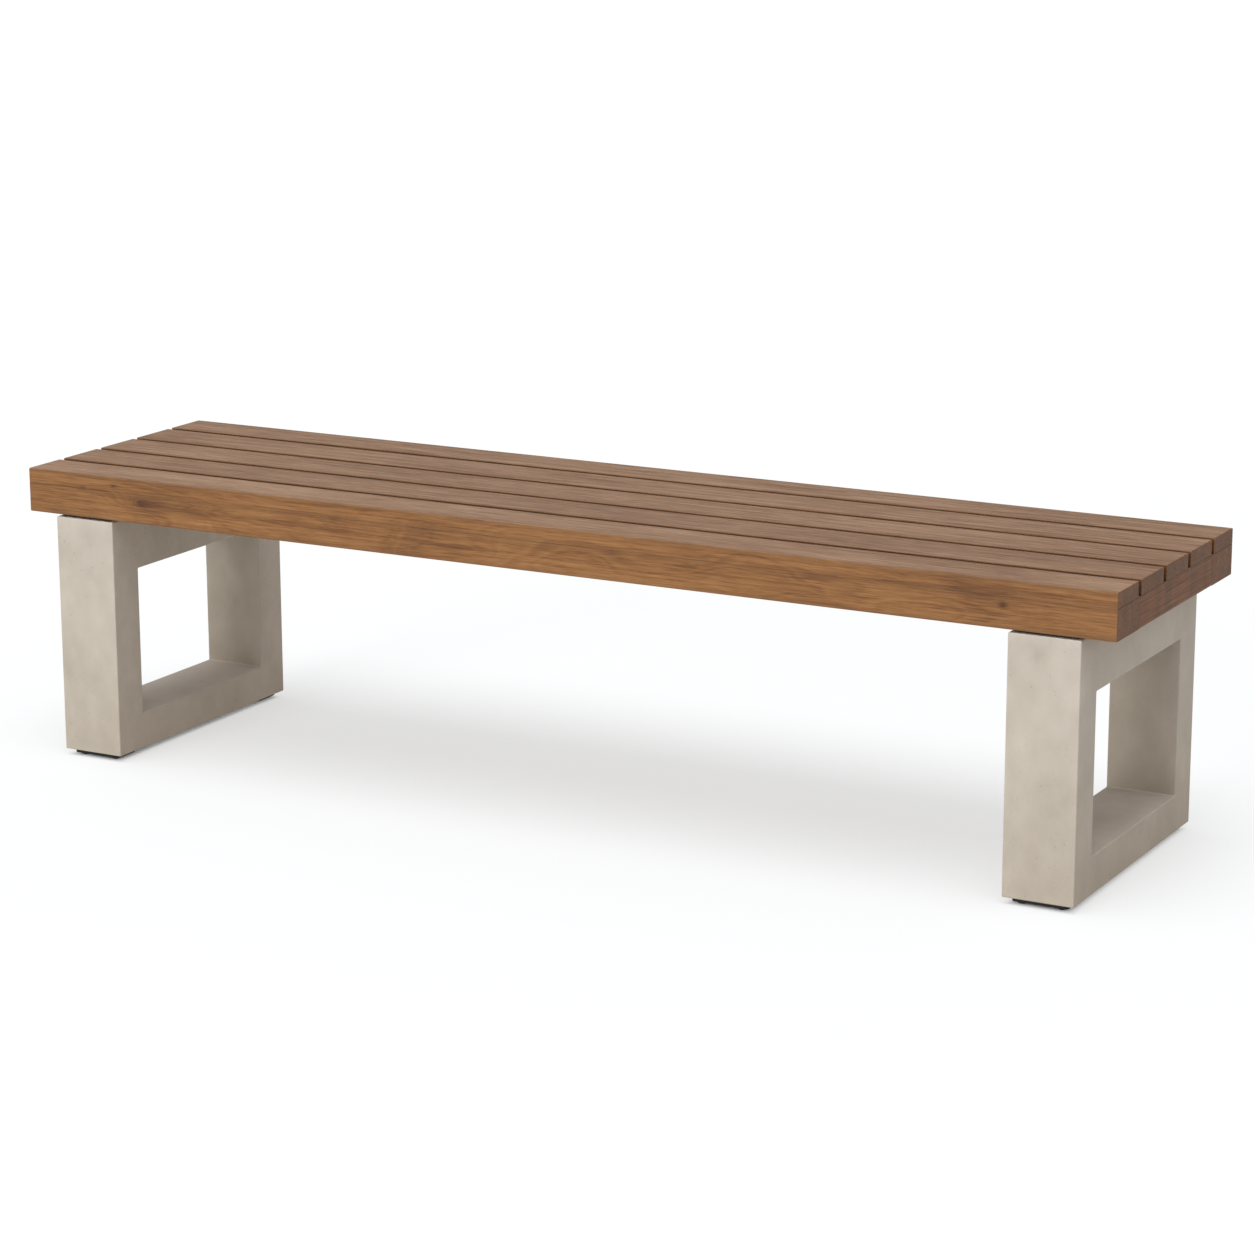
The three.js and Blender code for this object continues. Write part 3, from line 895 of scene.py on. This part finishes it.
def pad_profile(radius, top):
    """A sole with a shallow ring, a bulging wall, a rim, and the socket for the stem's flange."""
    sole = [(0, 0.6 * MM), (0.35 * radius, 0.6 * MM), (0.38 * radius, 0.0)]
    wall = rounded(radius - PAD_BULGE, 0.0, 2.6 * MM, steps=6)
    wall += [(radius - 0.4 * MM, 5.0 * MM), (radius, 7.2 * MM), (radius, top - 0.9 * MM)]
    rim = [(radius - 0.3 * MM, top - 0.3 * MM), (radius - 0.9 * MM, top)]
    neck = [(PAD_NECK_RADIUS, top), (PAD_NECK_RADIUS, PAD_SOCKET_TOP)]
    socket = [(PAD_SOCKET_RADIUS, PAD_SOCKET_TOP), (PAD_SOCKET_RADIUS, PAD_SOCKET_BOTTOM)]
    return sole + wall + rim + neck + socket + [(0, PAD_SOCKET_BOTTOM)]


def make_glide_pads(nylon):
    """Low round pads, each attached to a body of its own."""
    for hand in HANDS:
        for number in GLIDE_NUMBERS:
            node = f"glide_pad_{hand}_{number}"
            low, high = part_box(node)
            profile = pad_profile(0.5 * (high.x - low.x), high.z)
            pad = revolve(f"nylon_{node}", profile, middle_of(node), segments=56, angle=50)
            settle(pad, node, f"pad_{hand}_{number}", nylon)


def thread(height, bottom, top):
    """A helical V thread's reach at one height, as a function of the angle. It fades at both ends."""
    fade_in = min(1.0, (height - bottom) / THREAD_PITCH)
    fade_out = min(1.0, (top - height) / THREAD_PITCH)
    fade = max(0.0, min(fade_in, fade_out))

    def reach(turn):
        phase = (height / THREAD_PITCH - turn / (2 * math.pi)) % 1.0
        groove = THREAD_DEPTH * (1 - abs(2 * phase - 1))
        return STEM_RADIUS - groove * fade - STEM_POINT * (1 - fade_out)

    return reach


def make_glide_stems(steel):
    """Threaded stems, each with a plain flange that swivels in its pad."""
    for hand in HANDS:
        for number in GLIDE_NUMBERS:
            node = f"glide_stem_{hand}_{number}"
            low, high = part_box(node)
            flange = 0.5 * (high.x - low.x)
            flange_top = low.z + STEM_FLANGE_THICKNESS
            length = high.z - flange_top
            rows = round(length / THREAD_PITCH * THREAD_ROWS_PER_TURN)
            profile = [(0, low.z), (flange, low.z), (flange, flange_top)]
            for row in range(rows + 1):
                height = flange_top + length * row / rows
                profile.append((thread(height, flange_top, high.z), height))
            profile.append((0, high.z))
            stem = revolve(f"steel_{node}", profile, middle_of(node), THREAD_SEGMENTS, angle=70)
            settle(stem, node, f"stem_{hand}_{number}", steel)


def finish_hidden_fittings(black, zinc, brass):
    """The CAD meshes of plates, nuts, plate screws and inserts stay, each with its finish."""
    looks = {
        "mounting_plate": black,
        "weld_nut": black,
        "plate_screw": zinc,
        "glide_insert": brass,
    }
    for name, node in NODES.items():
        for start, finish in looks.items():
            if name.startswith(start):
                node.data.materials.clear()
                node.data.materials.append(finish)


make_camera()
make_studio()
make_floor()
make_seat()
cast = concrete()
for side in HANDS:
    make_leg_frame(side, cast)
zinc_steel = metal("zinc_steel", (0.42, 0.42, 0.43), (0.62, 0.62, 0.63), 0.36, 500.0)
brass_finish = metal("turned_brass", (0.50, 0.36, 0.15), (0.66, 0.50, 0.24), 0.34, 500.0)
powder_black = coated("powder_black", (0.012, 0.012, 0.013), (0.022, 0.022, 0.023), 0.5, 900.0, 0.1 * MM)
nylon_black = coated("nylon_black", (0.009, 0.009, 0.009), (0.016, 0.016, 0.016), 0.50, 1400.0, 0.05 * MM)
make_leg_bolts(zinc_steel)
make_foot_shoes(nylon_black)
make_glide_pads(nylon_black)
make_glide_stems(zinc_steel)
finish_hidden_fittings(powder_black, zinc_steel, brass_finish)
